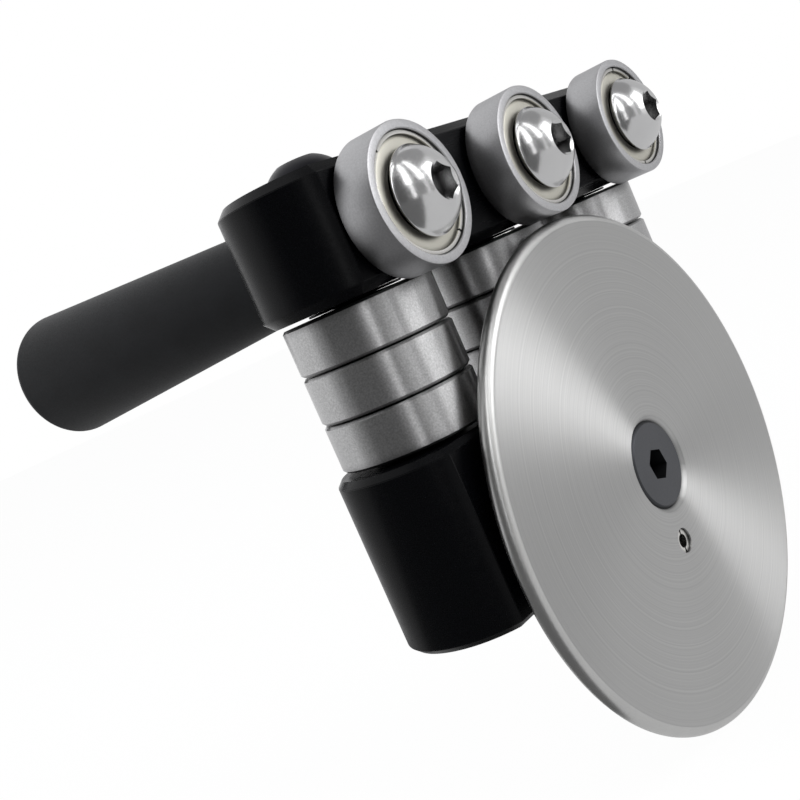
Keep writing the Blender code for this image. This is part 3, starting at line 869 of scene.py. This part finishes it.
inner_shape = ring_shape("inner ring", INNER_R, BORE_R, INNER_W, INNER_EDGE, race)
inner_mesh = stack_of(inner_shape, "guide_inner_ring_1_top", "guide_inner_ring_1_middle",
                      len(LAYERS), race)
add_piece("guide_inner_rings", inner_mesh, race, "frame", "ground_steel",
          *[f"guide_inner_ring_{i}_{layer}" for i in COLUMNS for layer in LAYERS])
washer_shape = ring_shape("washer", WASHER_R, BORE_R, WASHER_T, WASHER_EDGE, bolt_black)
washer_mesh = stack_of(washer_shape, "guide_spacer_1_top", "guide_spacer_1_bottom", 2,
                       bolt_black)
add_piece("column_washers", washer_mesh, bolt_black, "frame", "black_steel",
          *[f"guide_spacer_{i}_{end}" for i in COLUMNS for end in ("top", "bottom")])
press_inner = ring_shape("press inner ring", INNER_R, BORE_R, PRESS_W, INNER_EDGE, race)
press_inner.data.transform(TO_FRONT)
press_inner_mesh = row_of(press_inner, middle("press_inner_ring_1"), column_step,
                          len(COLUMNS), race)
add_piece("press_inner_rings", press_inner_mesh, race, "frame", "ground_steel",
          *[f"press_inner_ring_{i}" for i in COLUMNS])
bpy.data.objects.remove(press_inner, do_unlink=True)
print("guide columns done")

# %% [markdown]
# ## Button head screws
# M8 screws with a domed head and a hexagon socket hold the press rollers. They are
# polished, and longer black ones clamp the columns: the first comes from above and the
# other two from below. The dome is part of a ball, so one formula gives its outline. One
# screw is turned and its socket is cut, with the small cone at its mouth, and a node tree
# sets as many of them in a row as are needed.

# %% Button heads
HEAD_R = 7.0
HEAD_K = 4.4
SHANK_R = 3.7
HEX_AF = 5.0
HEX_DEPTH = 2.8
HEAD_FLAT = 3.0
HEAD_STEPS = 18
MOUTH_R = 3.1
SHANK_EDGE = 0.6
PRESS_SCREW_L = 13.4


def head_outline():
    """Half outline of a button head from the rim of its flat seat up to its top."""
    rim = 0.45
    edge = HEAD_R - 0.1
    centre = (HEAD_FLAT ** 2 + HEAD_K ** 2 - edge ** 2 - rim ** 2) / (2 * (HEAD_K - rim))
    radius = math.hypot(edge, rim - centre)
    points = [(HEAD_R - 0.12, 0.0), (HEAD_R, 0.14), (HEAD_R, rim - 0.1)]
    for i in range(HEAD_STEPS + 1):
        r = edge - (edge - HEAD_FLAT) * i / HEAD_STEPS
        points.append((r, centre + math.sqrt(radius * radius - r * r)))
    return points + [(0.0, HEAD_K)]


def hex_prism(across_flats, low, high):
    radius = across_flats / math.sqrt(3.0) * MM
    bm = bmesh.new()
    corners = [bm.verts.new((radius * math.cos(math.pi / 3 * i),
                             radius * math.sin(math.pi / 3 * i), low * MM))
               for i in range(6)]
    grown = bmesh.ops.extrude_face_region(bm, geom=[bm.faces.new(corners)])
    tops = [v for v in grown["geom"] if isinstance(v, bmesh.types.BMVert)]
    bmesh.ops.translate(bm, vec=(0, 0, (high - low) * MM), verts=tops)
    return finish_mesh(bm, "hexagon")


def cone_mouth(top):
    """The shallow cone that breaks the corners of a hexagon socket."""
    return lathe("mouth", [(0, top - 1.2), (2.5, top - 0.36), (MOUTH_R, top + 0.02),
                           (MOUTH_R, top + 1.0), (0, top + 1.0)], 64, UP, (0, 0, 0))


def screw_mesh(name, shank_length):
    shank = [(0.0, -shank_length), (SHANK_R - SHANK_EDGE, -shank_length),
             (SHANK_R, -shank_length + SHANK_EDGE), (SHANK_R, 0.0)]
    body = lathe(name, shank + head_outline(), 96, UP, (0, 0, 0))
    return carve(body, [hex_prism(HEX_AF, HEAD_K - HEX_DEPTH, HEAD_K + 1.0),
                        cone_mouth(HEAD_K)])


def screw_row(name, length, direction, first, nodes, turn_step, axis, finish, slot):
    mesh = screw_mesh(name, length)
    mesh.transform(direction)
    shape = bpy.data.objects.new(name + " shape", mesh)
    scene.collection.objects.link(shape)
    made = row_of(shape, first, column_step, len(nodes), finish, axis, turn_step)
    bpy.data.objects.remove(shape, do_unlink=True)
    add_piece(name, made, finish, "frame", slot, *nodes)


press_seat = middle("press_screw_1")
press_seat.x = high_corner("press_screw_1").x - HEAD_K * MM
screw_row("press_screws", PRESS_SCREW_L, TO_FRONT, press_seat,
          [f"press_screw_{i}" for i in COLUMNS], math.radians(22), (1, 0, 0), polished,
          "polished_steel")
top_low, top_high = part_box("column_bolt_1")
top_seat = middle("column_bolt_1")
top_seat.z = top_high.z - HEAD_K * MM
screw_row("column_bolt_above", (top_seat.z - top_low.z) / MM, UP, top_seat,
          ["column_bolt_1"], 0.0, (0, 0, 1), bolt_black, "black_steel")
below_low, below_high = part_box("column_bolt_2")
below_seat = middle("column_bolt_2")
below_seat.z = below_low.z + HEAD_K * MM
screw_row("column_bolts_below", (below_high.z - below_seat.z) / MM, DOWN, below_seat,
          ["column_bolt_2", "column_bolt_3"], math.radians(17), (0, 0, 1), bolt_black,
          "black_steel")
print("screws done")

# %% [markdown]
# ## Blocks
# Both blocks are short bars with rounded ends, cut flat in front. The outline is pushed
# up, its edges are chamfered and every sharp edge is broken a little more, so that it
# catches the light. Holes and counterbores are cut last.

# %% Blocks
END_R = 14.0
END_STEPS = 56
EDGE_BREAK = 0.09
BLOCK_BACK = low_corner("upper_block").x / MM
UPPER_HALF = 51.2
UPPER_CHAMFER = 1.5
LOWER_HALF = 50.8
LOWER_CHAMFER = 1.0
HEAD_SEAT = 1.65
FRONT_SEAT = 0.4
upper_low, upper_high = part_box("upper_block")
lower_low, lower_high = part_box("lower_block")


def bar_outline(front, half):
    """Plan of a bar, with round ends that run into its back."""
    centre_x = BLOCK_BACK + END_R
    centre_y = half - END_R
    start = math.pi / 2 - math.asin((front - centre_x) / END_R)
    right = []
    for i in range(END_STEPS + 1):
        a = start + (math.pi - start) * i / END_STEPS
        right.append((centre_x + END_R * math.cos(a), centre_y + END_R * math.sin(a)))
    return right + [(x, -y) for x, y in reversed(right)]


def bar_mesh(name, front, half, low, high, chamfer):
    bm = bmesh.new()
    face = bm.faces.new([bm.verts.new((x * MM, y * MM, low))
                         for x, y in bar_outline(front, half)])
    grown = bmesh.ops.extrude_face_region(bm, geom=[face])
    tops = [v for v in grown["geom"] if isinstance(v, bmesh.types.BMVert)]
    bmesh.ops.translate(bm, vec=(0, 0, high - low), verts=tops)
    bmesh.ops.recalc_face_normals(bm, faces=bm.faces)
    rims = [e for e in bm.edges if abs(e.verts[0].co.z - e.verts[1].co.z) < 1e-7]
    bmesh.ops.bevel(bm, geom=rims, offset=chamfer * MM, segments=1, affect="EDGES")
    corners = [e for e in bm.edges if len(e.link_faces) == 2
               and e.calc_face_angle() > math.radians(25)]
    bmesh.ops.bevel(bm, geom=corners, offset=EDGE_BREAK * MM, segments=2, affect="EDGES")
    return finish_mesh(bm, name)


def hole(radius, low, high, direction, place):
    return lathe("hole", [(0, low), (radius, low), (radius, high), (0, high)], 64,
                 direction, place)


# %% Upper block
head_place = Vector((top_seat.x, top_seat.y, upper_high.z))
upper_cutters = [hole(HEAD_R + 0.4, -HEAD_SEAT, 3.0, UP, head_place)]
for i in COLUMNS:
    press = middle(f"press_screw_{i}")
    press.x = upper_high.x - FRONT_SEAT * MM
    upper_cutters.append(hole(BORE_R, -6.5, 3.0, TO_FRONT, press))
upper_mesh = bar_mesh("upper bar", upper_high.x / MM - FRONT_SEAT, UPPER_HALF,
                      upper_low.z, upper_high.z, UPPER_CHAMFER)
add_piece("upper_bar", carve(upper_mesh, upper_cutters), anodised, "frame", "block_black",
          "upper_block")

# %% Lower block
bush_place = middle("disc_bush")
bush_place.x = lower_high.x
lower_cutters = [hole(6.1, -7.4, 3.0, TO_FRONT, bush_place)]
for i in COLUMNS[1:]:
    bolt = middle(f"column_bolt_{i}")
    bolt.z = lower_high.z
    lower_cutters.append(hole(BORE_R, -40.0, 3.0, UP, bolt))
lower_mesh = bar_mesh("lower bar", lower_high.x / MM, LOWER_HALF, lower_low.z,
                      lower_high.z, LOWER_CHAMFER)
add_piece("lower_bar", carve(lower_mesh, lower_cutters), anodised, "frame", "block_black",
          "lower_block")
print("blocks done")

# %% [markdown]
# ## Disc
# The disc is three millimetres thick and its rim is fully round, so that the sheet
# rolls over it without a mark. It is turned from one outline, and the faces of its rim
# get a plain steel finish, because the turning marks end there. A countersunk black screw
# sits a little below its face, and a slotted spring pin keeps it from turning on its hub.

# %% Disc
DISC_R = 45.0
DISC_T = 3.0
SINK_R = 8.5
RIM_STEPS = 24
PIN_HOLE_R = 2.15
rim_r = DISC_T / 2
disc_outline = [(SINK_R, rim_r), (SINK_R - DISC_T, -rim_r)]
for i in range(RIM_STEPS + 1):
    a = -math.pi / 2 + math.pi * i / RIM_STEPS
    disc_outline.append((DISC_R - rim_r + rim_r * math.cos(a), rim_r * math.sin(a)))
disc_mesh = lathe("disc", disc_outline, 256, TO_FRONT, disc_middle)
pin_place = middle("disc_pin")
disc_mesh = carve(disc_mesh, [hole(PIN_HOLE_R, -10.0, 10.0, TO_FRONT, pin_place)])
add_piece("turned_disc", disc_mesh, disc_finish, "disc", "disc_steel", "bending_disc")
disc_mesh.materials.append(rim_finish)
for face in disc_mesh.polygons:
    out = face.center - disc_middle
    if math.hypot(out.y, out.z) > (DISC_R - rim_r + 0.05) * MM:
        face.material_index = 1

# %% Disc screw, pin and hub
screw_low, screw_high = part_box("disc_screw")
csk_place = middle("disc_screw")
csk_place.x = screw_high.x
CSK_R = 7.8
CSK_EDGE = 0.7
csk_depth = (screw_high.x - screw_low.x) / MM
csk_outline = [(0.0, -csk_depth), (SHANK_R, -csk_depth),
               (SHANK_R, SHANK_R - CSK_R - CSK_EDGE), (CSK_R, -CSK_EDGE), (CSK_R, -0.6),
               (CSK_R - 0.45, -0.12), (CSK_R - 0.6, 0.0), (0.0, 0.0)]
csk_mesh = lathe("disc screw", csk_outline, 96, UP, (0, 0, 0))
csk_mesh = carve(csk_mesh, [hex_prism(HEX_AF, -3.0, 1.0)])
csk_mesh.transform(Matrix.Translation(csk_place) @ TO_FRONT
                   @ Matrix.Rotation(math.radians(12), 4, "Z"))
add_piece("disc_screw_black", csk_mesh, blackened, "disc", "black_steel", "disc_screw")

pin_low, pin_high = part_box("disc_pin")
pin_mesh = run_tree(wire_tree, "spring pin", {
    "Radius": 1.6 * MM, "Thickness": 0.8 * MM, "Depth": pin_high.x - pin_low.x,
    "Long Arc": math.radians(166), "Short Arc": math.radians(1),
    "Gap": math.radians(-166), "Material": wire})
pin_mesh.transform(Matrix.Translation(pin_place) @ TO_FRONT)
add_piece("disc_spring_pin", pin_mesh, wire, "disc", "black_steel", "disc_pin")

HUB_R = 17.0
HUB_T = 1.2
HUB_EDGE = 0.1
SPINDLE_R = 4.9
SPINDLE_END = -8.6
hub_outline = [(BORE_R, SPINDLE_END), (SPINDLE_R, SPINDLE_END), (SPINDLE_R, -HUB_T),
               (HUB_R - HUB_EDGE, -HUB_T), (HUB_R, HUB_EDGE - HUB_T), (HUB_R, -HUB_EDGE),
               (HUB_R - HUB_EDGE, 0.0), (5.4, 0.0), (BORE_R, -HUB_T)]
hub_place = (high_corner("disc_hub").x, csk_place.y, csk_place.z)
hub_mesh = lathe("hub", hub_outline, 96, TO_FRONT, hub_place)
add_piece("disc_hub_flange", hub_mesh, blackened, "disc", "black_steel", "disc_hub")
print("disc done")

# %% [markdown]
# ## Handle
# The handle is a plain tapered bar with a slightly rounded end. It starts narrow at
# the back of the upper block and grows towards the hand.

# %% Handle
GRIP_R0 = 7.9
GRIP_R1 = 14.5
GRIP_EDGE = 3.0
GRIP_STEPS = 12
NECK_EDGE = 0.6
grip_low, grip_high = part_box("handle_grip")
grip_length = (grip_high.x - grip_low.x) / MM
grip_outline = [(0.0, 0.0), (GRIP_R0 - NECK_EDGE, 0.0), (GRIP_R0, NECK_EDGE)]
for i in range(GRIP_STEPS + 1):
    a = math.pi / 2 * i / GRIP_STEPS
    grip_outline.append((GRIP_R1 - GRIP_EDGE + GRIP_EDGE * math.cos(a),
                         grip_length - GRIP_EDGE + GRIP_EDGE * math.sin(a)))
grip_outline.append((0.0, grip_length))
grip_mesh = lathe("grip", grip_outline, 128, TO_BACK,
                  (grip_high.x, 0.0, middle("handle_grip").z))
add_piece("handle_bar", grip_mesh, grip_finish, "frame", "grip_black", "handle_grip")

# %% Hidden pieces keep their own shape
for hidden, finish in (("handle_stud", blackened), ("disc_bush", bronze)):
    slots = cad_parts[hidden].material_slots
    slots[0].material = finish
print("handle done")
